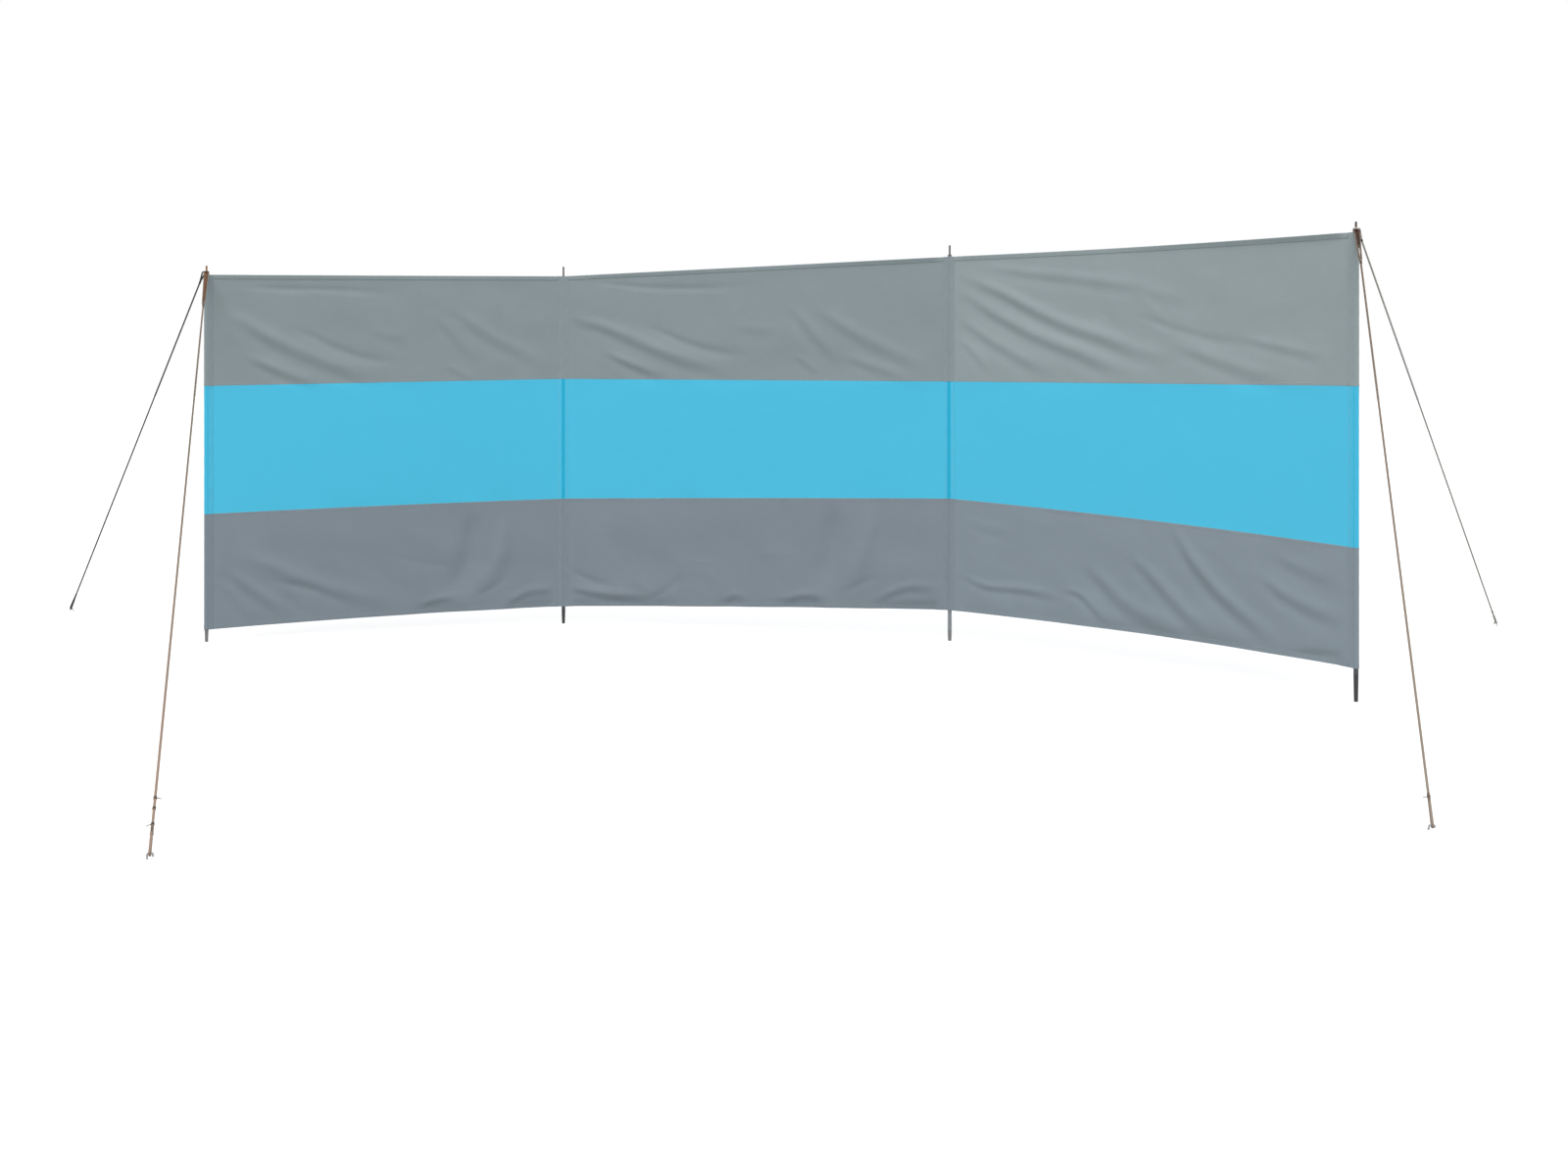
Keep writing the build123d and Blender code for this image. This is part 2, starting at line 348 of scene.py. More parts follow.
def wovenCloth(name, thread, poleShade, mottle):
    # Plain woven polyester, matt with a faint sheen; where a pole lies behind it, a darker band of painted
    # shade stands for the pole seen through the cloth
    weave = {
        "thread": 2.2 * mm,  # the real thread is about 0.4 mm, too fine to show
        "depth": 0.09 * mm,
        "clouds": 9.0,  # in a metre, so each is about 110 mm wide
        "slubs": (14.0, 420.0, 1.0),  # in a metre, so a thick thread is about 70 by 2.4 mm
        "sag": 1.2 * mm,
    }
    base = {"Roughness": 0.82, "Sheen Weight": 0.06, "Sheen Roughness": 0.5, "Specular IOR Level": 0.25}
    material, tree, shader = newMaterial(name, **base)
    place = made(tree, "ShaderNodeUVMap", uv_map="metres")
    split = addNode(tree, "ShaderNodeSeparateXYZ", {0: place}).outputs
    turns = 2 * math.pi / weave["thread"]
    warp, weft = (maths(tree, "SINE", maths(tree, "MULTIPLY", split[way], turns)) for way in "XY")
    clouds = noise(tree, place, weave["clouds"], 3.0, Roughness=0.6)
    drawnOut = made(tree, "ShaderNodeMapping", {"Vector": place, "Scale": weave["slubs"]})
    slubs = ranged(tree, noise(tree, drawnOut, 1.0, 2.0), to=(0.97, 1.03))
    dark, light = ([c * (1 + hand * mottle) for c in linear(thread)[:3]] + [1.0] for hand in (-1, 1))
    grain = made(tree, "ShaderNodeCombineColor", {i: slubs for i in range(3)})
    colour = mixed(tree, 1.0, mixed(tree, clouds, dark, light), grain, "MULTIPLY")
    # Painted shade: the band where a pole shows dark through the cloth, as each sleeve marks it
    band = addNode(tree, "ShaderNodeAttribute", attribute_name="paintedPoleShade").outputs["Fac"]
    colour = mixed(tree, band, colour, linear(poleShade))
    crossed = bumped(tree, maths(tree, "MULTIPLY", warp, weft), weave["depth"], 0.5)
    surfaced(tree, shader, colour, bumped(tree, clouds, weave["sag"], 0.4, Normal=crossed))
    return material


braid = {
    "carriers": 4,
    "cell": 7 * mm,  # from one lump to the next along the cord
    "lay": 28 * mm,  # one turn of the dark carrier
    "grime": 60.0,  # in a metre, so a patch is about 17 mm
    "fibres": 1400.0,  # in a metre, so one is about 0.7 mm
    "fibreDepth": 0.15 * mm,
}


def braidedRope(name, colours, length, fadeStart):
    # Braided polypropylene cord with one dark carrier, slightly waxy. The colours are those of its valleys,
    # darkened as painted shade, its crowns, lightened as painted light, its dark carrier and grime, and of
    # its foot, towards which it fades
    valleyShade, crown, dark, grimy, foot = (linear(colour) for colour in colours.split())
    base = {"Roughness": 0.62, "Sheen Weight": 0.1, "Specular IOR Level": 0.35}
    material, tree, shader = newMaterial(name, **base)
    marks = addNode(tree, "ShaderNodeAttribute", attribute_name="braid").outputs["Vector"]
    part = addNode(tree, "ShaderNodeSeparateXYZ", {0: marks}).outputs
    angle = maths(tree, "ARCTAN2", part["Y"], part["X"])
    turned = maths(tree, "DIVIDE", angle, 2 * math.pi)
    travelled = maths(tree, "DIVIDE", part["Z"], braid["lay"])
    phase = maths(tree, "FRACT", maths(tree, "ADD", turned, travelled))
    away = maths(tree, "ABSOLUTE", maths(tree, "SUBTRACT", phase, 0.5))
    columns = maths(tree, "COSINE", maths(tree, "MULTIPLY", angle, float(braid["carriers"])))
    rows = maths(tree, "COSINE", maths(tree, "MULTIPLY", part["Z"], 2 * math.pi / braid["cell"]))
    # Painted shade in the valleys between the braid's lumps, and painted light on their crowns
    crowns = ranged(tree, maths(tree, "MULTIPLY", columns, rows), -1.0, 1.0)
    colour = mixed(tree, crowns, valleyShade, crown)
    colour = mixed(tree, ranged(tree, away, 0.07, 0.1, (1.0, 0.0)), colour, dark)
    spot = addNode(tree, "ShaderNodeTexCoord").outputs["Object"]
    wear = noise(tree, spot, braid["grime"], 3.0)
    colour = mixed(tree, ranged(tree, wear, 0.45, 0.75, (0.0, 0.45)), colour, grimy)
    colour = mixed(tree, ranged(tree, part["Z"], length * fadeStart, length), colour, foot)
    fibre = noise(tree, spot, braid["fibres"], 2.0)
    surfaced(tree, shader, colour, bumped(tree, fibre, braid["fibreDepth"], 0.5))
    return material


def spottedSurface(name, body, spots, spotSize, share, bumpDepth, roughness, **values):
    # A body colour with soft spots of another, and a fine grain; sizes are real millimetres
    grainSize = 1.5
    material, tree, shader = newMaterial(name, Roughness=roughness, **values)
    spot = addNode(tree, "ShaderNodeTexCoord").outputs["Object"]
    patches = noise(tree, spot, 1 / (spotSize * mm), 5.0)
    worn = ranged(tree, patches, 0.62 - share, 0.72 - share * 0.6)
    grain = noise(tree, spot, 1 / (grainSize * mm), 4.0)
    colour = mixed(tree, worn, linear(body), linear(spots))
    surfaced(tree, shader, colour, bumped(tree, grain, bumpDepth * mm, 0.6))
    return material


# In each cloth the second colour is painted shade, where a pole shows dark through it
upperGrey = wovenCloth("greyPolyester", "#848F92", "#7B8689", 0.05)
lowerGrey = wovenCloth("greyPolyesterLower", "#7D878F", "#737D85", 0.05)
blue = wovenCloth("skyBluePolyester", "#4BBADB", "#12A4C8", 0.015)
# The right bay's grey is a little paler than the others'
upperPale = wovenCloth("palerPolyester", "#8C9799", "#838E90", 0.05)
lowerPale = wovenCloth("palerPolyesterLower", "#818C94", "#77828A", 0.05)
clothOf = {"lower": lowerGrey, "blue": blue, "upper": upperGrey}
paleCloth = {"lower": lowerPale, "blue": blue, "upper": upperPale}
slotOf = {"lower": "grey_cloth", "blue": "blue_cloth", "upper": "grey_cloth"}
# Cord, waxy and matt, in a colour of its own on each guy; the first two colours of each are painted shade in
# the braid's valleys and painted light on its crowns
leftCord = braidedRope("olivePolypropylene", "#4A3C2C #68563F #352B21 #45382B #816B5B", 3.3, 0.5)
rightCord = braidedRope("brownPolypropylene", "#574A3D #746250 #423830 #4E4337 #7F7265", 2.1, 0.15)
darkCord = braidedRope("darkPolypropylene", "#38332E #49433C #2E2A26 #3B3631 #1F1C19", 1.5, 0.0)
paleCord = braidedRope("greyedPolypropylene", "#A6A29A #B4B0A8 #96928A #A19D95 #8E8A83", 2.3, 0.2)
# Twisted polyester sewing thread, smooth and a little lighter than the cloth
thread = spottedSurface("greyPolyesterThread", "#98A2A6", "#848E92", 9, 0.1, 0.02, 0.5)
# Waxed whipping twine, near black brown, with a dull shine
twine = spottedSurface("waxedTwine", "#44372C", "#2E251E", 4, 0.15, 0.05, 0.45)
# Tarred marline wound over the front eyes, red brown and matt
marline = spottedSurface("brownMarline", "#82593A", "#64432B", 9, 0.2, 0.05, 0.7)
darkMarline = spottedSurface("darkRedMarline", "#5E4238", "#45302A", 9, 0.2, 0.05, 0.7)
# Enamel paint on steel tube, satin, chipped darker in places; the two pairs of poles have weathered apart
paleTube = spottedSurface("greyEnamelOnSteel", "#7D8287", "#5C6165", 12, 0.05, 0.02, 0.38)
darkTube = spottedSurface("charcoalEnamelOnSteel", "#3C4044", "#2C2E31", 12, 0.05, 0.02, 0.38)
# Mild steel under a matt skin of rust and old oil
darkPin = spottedSurface("darkenedMildSteel", "#393836", "#3B2E26", 5, 0.12, 0.06, 0.6)
brownPin = spottedSurface("brownedMildSteel", "#4A3A31", "#32261F", 5, 0.16, 0.06, 0.65)
rustPin = spottedSurface("rustedMildSteel", "#8F6A30", "#6B4D22", 5, 0.16, 0.08, 0.8)
# Moulded polypropylene spike, scuffed by sand; two are bleached grey and two are still near black
greySpike = spottedSurface("bleachedPolypropylene", "#707071", "#85847F", 6, 0.06, 0.05, 0.6)
blackSpike = spottedSurface("blackPolypropylene", "#2B2A2D", "#45433F", 6, 0.06, 0.05, 0.55)
# Zinc plated wire, pale and satin with darker scuffs
pegZinc = spottedSurface("zincPlatedWire", "#A5A6A6", "#86847F", 4, 0.12, 0.03, 0.45, Metallic=0.7)
print("materials ready")


# The cloth's surface: where a point of a bay lies, from its distance along the bay and its height

cloth = {
    "bottomBow": (0.050, 0.036, 0.068),  # how far the wind bows each bay back, at its bottom and its top
    "topBow": (0.004, 0.004, 0.064),
    "seamReach": (0.025, 0.022, 0.022, 0.025),
    "thickness": 0.8 * mm,
    "column": 11 * mm,
    "row": 6.5 * mm,
    "sewnIn": 4 * mm,
    "waves": 22,
    "restless": 0.7 * mm,  # height of the small random waves
    "creases": 22,
    "blueShare": 0.2,  # how much of the folds is left in the tight blue strip
    "topShare": 0.4,  # and at the top hem
    "fade": 0.05,  # the width over which they die away beside the blue and beside a sleeve
    "puckerDepth": 0.5 * mm,  # the cloth gathers a little along its lines of stitches
    "puckerPitch": 0.034,
    "puckerReach": 0.016,
}

# Folds: points as (distance from the left pole, height), then how far the ridge stands forward, its width
# and the depth of the hollow below it, all in millimetres. A hollow alone has a negative height
folds = {
    "left": [
        ([(79, 1406), (254, 1398), (499, 1397), (770, 1380)], -2.6, 13, 0),
        ([(34, 1310), (134, 1272), (217, 1218), (319, 1166), (423, 1123), (538, 1081),
          (693, 1038)], 6.0, 27, 2.5),
        ([(282, 1258), (385, 1213), (499, 1157), (615, 1118), (771, 1104)], -3.6, 17, 0),
        ([(143, 1141), (198, 1108), (273, 1075), (367, 1038), (442, 1010)], 4.6, 19, 2),
        ([(929, 1359), (1009, 1297), (1120, 1218), (1243, 1158), (1398, 1086)], 3.6, 26, 2),
        ([(899, 1297), (959, 1225), (1014, 1161), (1070, 1105)], 2.6, 19, 1.5),
        ([(919, 1105), (980, 1072), (1060, 1028)], 2.2, 16, 1),
        ([(615, 1244), (692, 1222), (790, 1207)], 1.6, 22, 1),
        ([(88, 362), (189, 317), (301, 259), (424, 206), (559, 160), (774, 111)], 4.6, 30, 0),
        ([(226, 238), (301, 213), (386, 190), (472, 151), (578, 95)], -3.8, 17, 0),
        ([(61, 305), (134, 231), (217, 168), (320, 85)], 3.8, 21, 2.5),
        ([(42, 248), (106, 176), (152, 95), (175, 45)], 2.2, 16, 1.5),
        ([(292, 175), (334, 124), (377, 76)], -2.2, 13, 0),
        ([(1042, 501), (1037, 357), (1007, 245), (943, 104)], -8.0, 44, 0),
        ([(1163, 498), (1163, 323), (1093, 191), (1023, 90)], 6.0, 36, 0),
        ([(1043, 120), (1113, 154), (1204, 218)], -2.0, 15, 0),
        ([(1164, 80), (1265, 142), (1418, 152)], 2.6, 17, 2),
        ([(813, 89), (883, 122), (993, 133)], 2.4, 15, 2),
    ],
    "middle": [
        ([(71, 1449), (236, 1435), (387, 1418), (605, 1412), (853, 1416)], -2.6, 13, 0),
        ([(-24, 1323), (71, 1291), (177, 1262), (293, 1219), (420, 1166), (546, 1122), (671, 1089),
          (806, 1045)], 6.0, 25, 2.5),
        ([(340, 1276), (443, 1229), (569, 1176), (705, 1143), (851, 1133)], -3.8, 17, 0),
        ([(176, 1165), (246, 1129), (339, 1092), (465, 1046)], 4.6, 18, 2),
        ([(1085, 1344), (1172, 1286), (1269, 1224), (1377, 1171), (1483, 1124), (1610, 1093)], 4.0, 26, 2),
        ([(975, 1361), (1029, 1302), (1095, 1224), (1160, 1163), (1236, 1083)], 3.0, 22, 2),
        ([(1204, 1141), (1301, 1104), (1398, 1074), (1505, 1041)], 2.6, 20, 1.5),
        ([(1007, 1142), (1061, 1105), (1127, 1052)], 2.0, 16, 1.5),
        ([(740, 1267), (874, 1245), (974, 1248)], 1.4, 24, 1),
        ([(-23, 245), (46, 218), (127, 182), (231, 160)], -3.0, 15, 0),
        ([(-23, 178), (69, 150), (207, 133), (380, 130)], 3.6, 17, 2.5),
        ([(345, 102), (437, 141), (494, 187), (551, 227)], -2.6, 15, 0),
        ([(687, 111), (743, 146), (822, 136)], 2.2, 16, 2),
        ([(945, 121), (1023, 156), (1145, 156)], 2.6, 16, 2),
        ([(1169, 556), (1168, 417), (1146, 289), (1101, 149)], -8.0, 42, 0),
        ([(1327, 559), (1321, 411), (1266, 262), (1200, 153)], 6.0, 36, 0),
        ([(1200, 163), (1277, 204), (1364, 244)], -2.2, 15, 0),
        ([(1331, 137), (1418, 189), (1514, 214), (1631, 201)], 3.0, 17, 2.5),
        ([(139, 481), (127, 348), (104, 237)], 1.4, 30, 0),
    ],
    "right": [
        ([(77, 1492), (223, 1468), (378, 1442), (602, 1411), (785, 1381), (965, 1355)], 2.8, 20, 1.5),
        ([(4, 1458), (102, 1428), (247, 1369), (402, 1291), (543, 1235), (671, 1196), (785, 1155),
          (898, 1128), (1030, 1107)], 6.6, 24, 3.2),
        ([(16, 1403), (102, 1357), (198, 1296), (307, 1241), (414, 1194), (555, 1146), (671, 1101),
          (853, 1046)], 5.6, 24, 2.8),
        ([(4, 1299), (77, 1263), (162, 1205), (282, 1142), (402, 1086), (508, 1048)], 4.2, 22, 2),
        ([(28, 1210), (95, 1160), (150, 1106), (198, 1047)], 2.4, 15, 1.5),
        ([(785, 1273), (875, 1241), (998, 1199), (1128, 1165), (1288, 1145)], -3.0, 17, 0),
        ([(920, 1173), (1030, 1140), (1150, 1100), (1277, 1065), (1432, 1033)], 3.4, 24, 2),
        ([(1203, 1186), (1329, 1158), (1452, 1131), (1572, 1106)], 2.4, 17, 1.5),
        ([(831, 1361), (943, 1337), (1053, 1326)], 1.6, 24, 1),
        ([(4, 281), (89, 257), (161, 232), (317, 233), (518, 217)], 3.4, 15, 2),
        ([(483, 247), (565, 239), (646, 175), (692, 125)], 3.0, 15, 3),
        ([(565, 372), (669, 294), (772, 218), (896, 177), (1007, 150)], 4.6, 29, 3.5),
        ([(761, 412), (851, 348), (941, 270), (1029, 201), (1138, 147)], 5.0, 25, 3),
        ([(919, 552), (974, 488), (1029, 409), (1116, 318), (1223, 242), (1318, 183),
          (1411, 127)], 6.6, 24, 3),
        ([(1287, 390), (1391, 321), (1512, 281), (1641, 256)], 3.4, 23, 3),
        ([(1329, 458), (1462, 411), (1602, 385)], 2.0, 24, 1.5),
        ([(1401, 125), (1512, 130), (1641, 144)], -2.4, 14, 0),
        ([(77, 493), (150, 465), (294, 454)], 1.4, 22, 1),
    ],
}

# Where the hems roll: share of the bay's length and amount; the top hem rolls forward, the bottom hem back
hemRoll = {"topDepth": 4.6 * mm, "topWidth": 15 * mm, "bottomDepth": 8.5 * mm, "bottomWidth": 32 * mm}
topRoll = {
    "left": [(0, 0.6), (0.3, 0.5), (0.42, 0.1), (0.75, 0.1), (1, 0.4)],
    "middle": [(0, 0.1), (0.15, 0.7), (0.35, 0.6), (0.5, 0.1), (0.66, 0.3), (0.78, 1.0), (1, 1.0)],
    "right": [(0, 0.8), (0.2, 0.6), (0.42, 0.4), (0.55, 1.1), (0.8, 1.7), (1, 1.8)],
}
bottomRoll = {
    "left": [(0.55, 0), (0.62, 0.8), (0.69, 0.6), (0.74, 0), (0.82, 0), (0.88, 1.0), (1, 1.1)],
    "middle": [(0, 1.0), (0.26, 0.9), (0.31, 0), (0.4, 0), (0.44, 0.7), (0.48, 0), (0.55, 0), (0.6, 1.0),
               (0.66, 0.9), (0.69, 0), (0.8, 0), (0.84, 1.0), (1, 1.1)],
    "right": [(0, 0.3), (0.28, 0.3), (0.34, 0), (0.42, 0.7), (0.55, 0.9), (0.7, 0.8), (0.8, 0.1), (0.9, 0.7),
              (1, 0.8)],
}


def bayFrame(bay):
    left, right = polePlaces[bay], polePlaces[bay + 1]
    length = float(np.linalg.norm(right - left))
    along = (right - left) / length
    return left, along, np.array((-along[1], along[0])), length


def seamEnds(bay):
    # Where a bay's cloth leaves its two sleeves
    return cloth["seamReach"][bay], bayFrame(bay)[3] - cloth["seamReach"][bay + 1]


def lineHeight(bay, line, s):
    length = bayFrame(bay)[3]
    left, right = clothLines[bay][line], clothLines[bay + 1][line]
    return left + (right - left) * s / length


def drawnThrough(points, step=0.03):
    # A smooth line through given points
    points = np.array(points)
    ends = np.vstack([2 * points[0] - points[1], points, 2 * points[-1] - points[-2]])
    line = []
    for a, b, c, d in zip(ends, ends[1:], ends[2:], ends[3:]):
        for t in np.linspace(0, 1, max(2, int(np.linalg.norm(c - b) / step)), endpoint=False):
            bent = 2 * b + (c - a) * t + (2 * a - 5 * b + 4 * c - d) * t**2
            line.append(0.5 * (bent + (3 * b - a - 3 * c + d) * t**3))
    return np.array([*line, points[-1]])


def foldHeight(s, z, points, height, width, hollow):
    # A ridge along the line, which fades at both ends and widens towards the second
    line = drawnThrough(points)
    nearest = np.full(s.shape, 1e9)
    signed = np.zeros(s.shape)
    place = np.zeros(s.shape)
    steps = len(line) - 1
    for i, (a, b) in enumerate(zip(line, line[1:])):
        run = b - a
        share = np.clip(((s - a[0]) * run[0] + (z - a[1]) * run[1]) / (run @ run), 0, 1)
        offS, offZ = s - a[0] - run[0] * share, z - a[1] - run[1] * share
        distance = np.hypot(offS, offZ)
        closer = distance < nearest
        nearest = np.where(closer, distance, nearest)
        signed = np.where(closer, -np.sign(run[0] * offZ - run[1] * offS) * distance, signed)
        place = np.where(closer, (i + share) / steps, place)
    fade = smooth(place, 0, 0.3) * smooth(1 - place, 0, 0.35)
    spread = width * mm * (0.75 + 0.5 * place)
    ridge = np.exp(-(nearest / spread) ** 2) * height
    under = np.exp(-((signed - 1.7 * spread) / spread) ** 2) * hollow
    under *= np.exp(-np.maximum(nearest - np.abs(signed), 0) / spread)
    return (ridge - under) * fade * mm


def smallWaves(bay, s, z):
    # Seeded soft waves of 70 to 380 mm in many directions, so that no part of the cloth is a flat plane
    dice = np.random.default_rng(40 + bay)
    total = np.zeros(s.shape)
    for _ in range(cloth["waves"]):
        length = dice.uniform(0.07, 0.38)
        angle = dice.uniform(-1.1, 0.5)
        phase = dice.uniform(0, 2 * math.pi)
        across = s * math.sin(-angle) + z * math.cos(angle)
        total += np.sin(2 * math.pi * across / length + phase) * length / 0.2
    return total * cloth["restless"] / 4


def creases(bay, s, z):
    # Faint creases of 120 to 400 mm left from the bag, a different set in each bay
    dice = np.random.default_rng(70 + bay)
    length = bayFrame(bay)[3]
    total = np.zeros(s.shape)
    for _ in range(cloth["creases"]):
        start = np.array((dice.uniform(0.05, length - 0.3), dice.uniform(0.08, 1.45)))
        angle = dice.uniform(-0.75, 0.2)
        reach = dice.uniform(0.12, 0.4)
        end = start + reach * np.array((math.cos(angle), math.sin(angle)))
        middle = (start + end) / 2 + dice.uniform(-0.02, 0.02, 2)
        height, width = dice.uniform(-1.0, 1.1), dice.uniform(10, 18)
        total += foldHeight(s, z, [start, middle, end], height, width, 0)
    return total


def relief(bay, s, z):
    # How far the cloth stands forward of its plain bow
    length = bayFrame(bay)[3]
    reach, fade = cloth["seamReach"], cloth["fade"]
    name = bayNames[bay]
    total = smallWaves(bay, s, z) + creases(bay, s, z)
    for points, *shape in folds[name]:
        total += foldHeight(s, z, np.array(points) / 1000, *shape)
    blueLow, blueHigh = lineHeight(bay, 1, s), lineHeight(bay, 2, s)
    inside = smooth(z, blueLow - 0.01, blueLow + fade) * smooth(-z, -blueHigh - 0.01, -blueHigh + fade)
    total *= 1 - (1 - cloth["blueShare"]) * inside
    below, above = z - lineHeight(bay, 0, s), lineHeight(bay, 3, s) - z
    total *= cloth["topShare"] + (1 - cloth["topShare"]) * smooth(above, 0, 0.06)
    topShare, bottomShare = (np.interp(s / length, *zip(*roll[name])) for roll in (topRoll, bottomRoll))
    total += hemRoll["topDepth"] * topShare * np.exp(-((above + 4 * mm) / hemRoll["topWidth"]) ** 2)
    total -= hemRoll["bottomDepth"] * bottomShare * np.exp(-(below / hemRoll["bottomWidth"]) ** 2)
    ends = smooth(s, reach[bay], reach[bay] + fade)
    total *= ends * smooth(length - s, reach[bay + 1], reach[bay + 1] + fade)
    pull = cloth["puckerDepth"] * np.sin(s * 2 * math.pi / cloth["puckerPitch"] + 1.7 * np.sin(s * 9.0))
    for line in range(4):
        total += pull * np.exp(-np.abs(z - lineHeight(bay, line, s)) / cloth["puckerReach"])
    return total


def clothPoint(bay, s, z, lift=0.0, folded=None):
    # lift takes the point out to the front of the cloth's middle, or to the back where it is negative
    left, along, back, _ = bayFrame(bay)
    start, end = seamEnds(bay)
    share = np.maximum(1 - ((2 * s - start - end) / (end - start)) ** 2, 0)
    low = min(clothLines[bay][0], clothLines[bay + 1][0])
    high = max(clothLines[bay][3], clothLines[bay + 1][3])
    bottom, top = cloth["bottomBow"][bay], cloth["topBow"][bay]
    bow = bottom + (top - bottom) * (z - low) / (high - low)
    offset = bow * share - (relief(bay, s, z) if folded is None else folded) - lift
    x, y = (left[axis] + along[axis] * s + back[axis] * offset for axis in (0, 1))
    return np.stack([x, y, z], axis=-1)


def columnsOf(bay):
    start, end = seamEnds(bay)
    start, end = start - cloth["sewnIn"], end + cloth["sewnIn"]
    return np.linspace(start, end, int((end - start) / cloth["column"]) + 1)


def makeStrip(bay, number):
    s = columnsOf(bay)
    low, high = lineHeight(bay, number, s), lineHeight(bay, number + 1, s)
    rows = int((high - low).max() / cloth["row"])
    share = np.linspace(0, 1, rows)
    z = low[:, None] + (high - low)[:, None] * share
    wide = np.broadcast_to(s[:, None], z.shape)
    depth = relief(bay, wide, z)
    half = cloth["thickness"] / 2
    # A closed shell: up the front face and down the back one
    front = clothPoint(bay, wide, z, half, depth)
    back = clothPoint(bay, wide, z, -half, depth)
    rings = np.concatenate([front, back[:, ::-1]], axis=1)
    uv = np.stack([wide, z], axis=-1)
    uv = np.concatenate([uv, uv[:, ::-1]], axis=1)
    name, strip = bayNames[bay], stripNames[number]
    piece = tidied(loft(f"cloth_{strip}_{name}", rings, uv))
    node = f"{strip}_strip_{name}_bay"
    return dressed(piece, (paleCloth if bay == 2 else clothOf)[strip], slotOf[strip], node)


# Hems and seams: flat folded bands that wrap the cloth, with rows of stitches

band = {
    "hemDepth": 18 * mm,
    "hemHalf": 1.2 * mm,  # half of its thickness
    "seamWidth": 9 * mm,
    "seamHalf": 0.75 * mm,
    "step": 8 * mm,
    "tuck": 1 * mm,  # how far it runs in under the sleeves
}
# Half a section: how far in from the edge, and how far out, as shares of the width and of half the thickness
hemShape = [(1.0, 0.25), (0.97, 0.9), (0.80, 1.0), (0.45, 0.96), (0.12, 1.05), (0.02, 0.8), (-0.015, 0.3)]
pressedHem = [(1.0, 0.38), (0.85, 0.55), (0.6, 0.75), (0.3, 0.9), (0.08, 0.92), (0.0, 0.6), (-0.015, 0.25)]
seamShape = [(1.0, 0.5), (0.82, 0.85), (0.5, 0.95), (0.18, 0.85), (0.0, 0.5)]


def makeBand(name, bay, line, towards, width, half, shape, material):
    start, end = seamEnds(bay)
    s = np.arange(start - band["tuck"], end + band["tuck"], band["step"])
    edge = lineHeight(bay, line, s)
    loop = shape + [(across, -out) for across, out in reversed(shape)]
    rings = []
    for across, out in loop:
        z = edge + towards * across * width
        rings.append(clothPoint(bay, s, z, out * half, relief(bay, s, z)))
    rings = np.stack(rings, axis=1)
    uv = np.stack([np.broadcast_to(s[:, None], rings.shape[:2]), rings[:, :, 2]], axis=-1)
    return dressed(tidied(loft(name, rings, uv), 60), material, "grey_cloth")


for bay, name in enumerate(bayNames):
    strips = [makeStrip(bay, number) for number in range(3)]
    hem = (band["hemDepth"], band["hemHalf"])
    seam = (band["seamWidth"], band["seamHalf"], seamShape)
    colours = paleCloth if bay == 2 else clothOf
    bands = [
        makeBand(f"hem_bottom_{name}", bay, 0, 1, *hem, pressedHem, colours["lower"]),
        makeBand(f"seam_lower_{name}", bay, 1, -1, *seam, colours["lower"]),
        makeBand(f"seam_upper_{name}", bay, 2, 1, *seam, colours["upper"]),
        makeBand(f"hem_top_{name}", bay, 3, -1, *hem, hemShape, colours["upper"]),
    ]
print("cloth, hems and seams ready")


# Sleeves: sewn round each pole and drawn out to their seams

sleeve = {
    "radius": 9.3 * mm,
    "tip": 1.15 * mm,
    "wall": 0.85 * mm,
    "facets": 96,
    "around": 56,
    "row": 12 * mm,
    "hem": (20 * mm, 17 * mm),  # the hem and, beside the blue, the felled seam swell a sleeve this far in
    "fell": (11 * mm, 9 * mm),
    "swell": 0.6 * mm,
    "wrinkles": 9,
    "wrinkleDepth": 0.12 * mm,
    "bandFade": 3.5 * mm,
    "poleShadeShare": {  # how dark the painted shade of each pole is, where it shows through its sleeve
        "lower": (0.4, 0.3, 0.4, 0.4),
        "blue": (0.3, 0.9, 0.9, 0.3),
        "upper": (0.0, 0.1, 0.4, 0.2),
    },
    "stitchInset": 3.2 * mm,
}


def waysOut(pole):
    # From a pole along its one or two bays
    others = [n for n in (pole - 1, pole + 1) if 0 <= n < len(poleNames)]
    runs = [polePlaces[other] - polePlaces[pole] for other in others]
    return [run / np.linalg.norm(run) for run in runs]


def pocketOutline(pole):
    # A line drawn tight round the tube and its seams, as even points with their normals, and its length
    reach = cloth["seamReach"][pole]
    angles = np.linspace(0, 2 * math.pi, sleeve["facets"], endpoint=False)
    circle = np.stack([np.cos(angles), np.sin(angles)], axis=-1)
    rounds = [circle * sleeve["radius"]]
    for out in waysOut(pole):
        rounds.append(circle * sleeve["tip"] + out * (reach - sleeve["tip"]))
    points = np.concatenate(rounds)
    hull = points[convex_hull_2d(points.tolist())]
    start = int(np.argmax(np.linalg.norm(hull, axis=1)))
    hull = np.roll(hull, -start, axis=0)
    hull = np.vstack([hull, hull[:1]])
    travelled = np.concatenate([[0], np.cumsum(np.linalg.norm(np.diff(hull, axis=0), axis=1))])
    spots = np.linspace(0, travelled[-1], sleeve["around"], endpoint=False)
    outline = np.stack([np.interp(spots, travelled, hull[:, axis]) for axis in (0, 1)], axis=-1)
    step = np.roll(outline, -1, axis=0) - np.roll(outline, 1, axis=0)
    normal = np.stack([step[:, 1], -step[:, 0]], axis=-1)
    normal /= np.linalg.norm(normal, axis=1)[:, None]
    normal *= np.sign((normal * outline).sum()) or 1
    return outline, normal, travelled[-1]


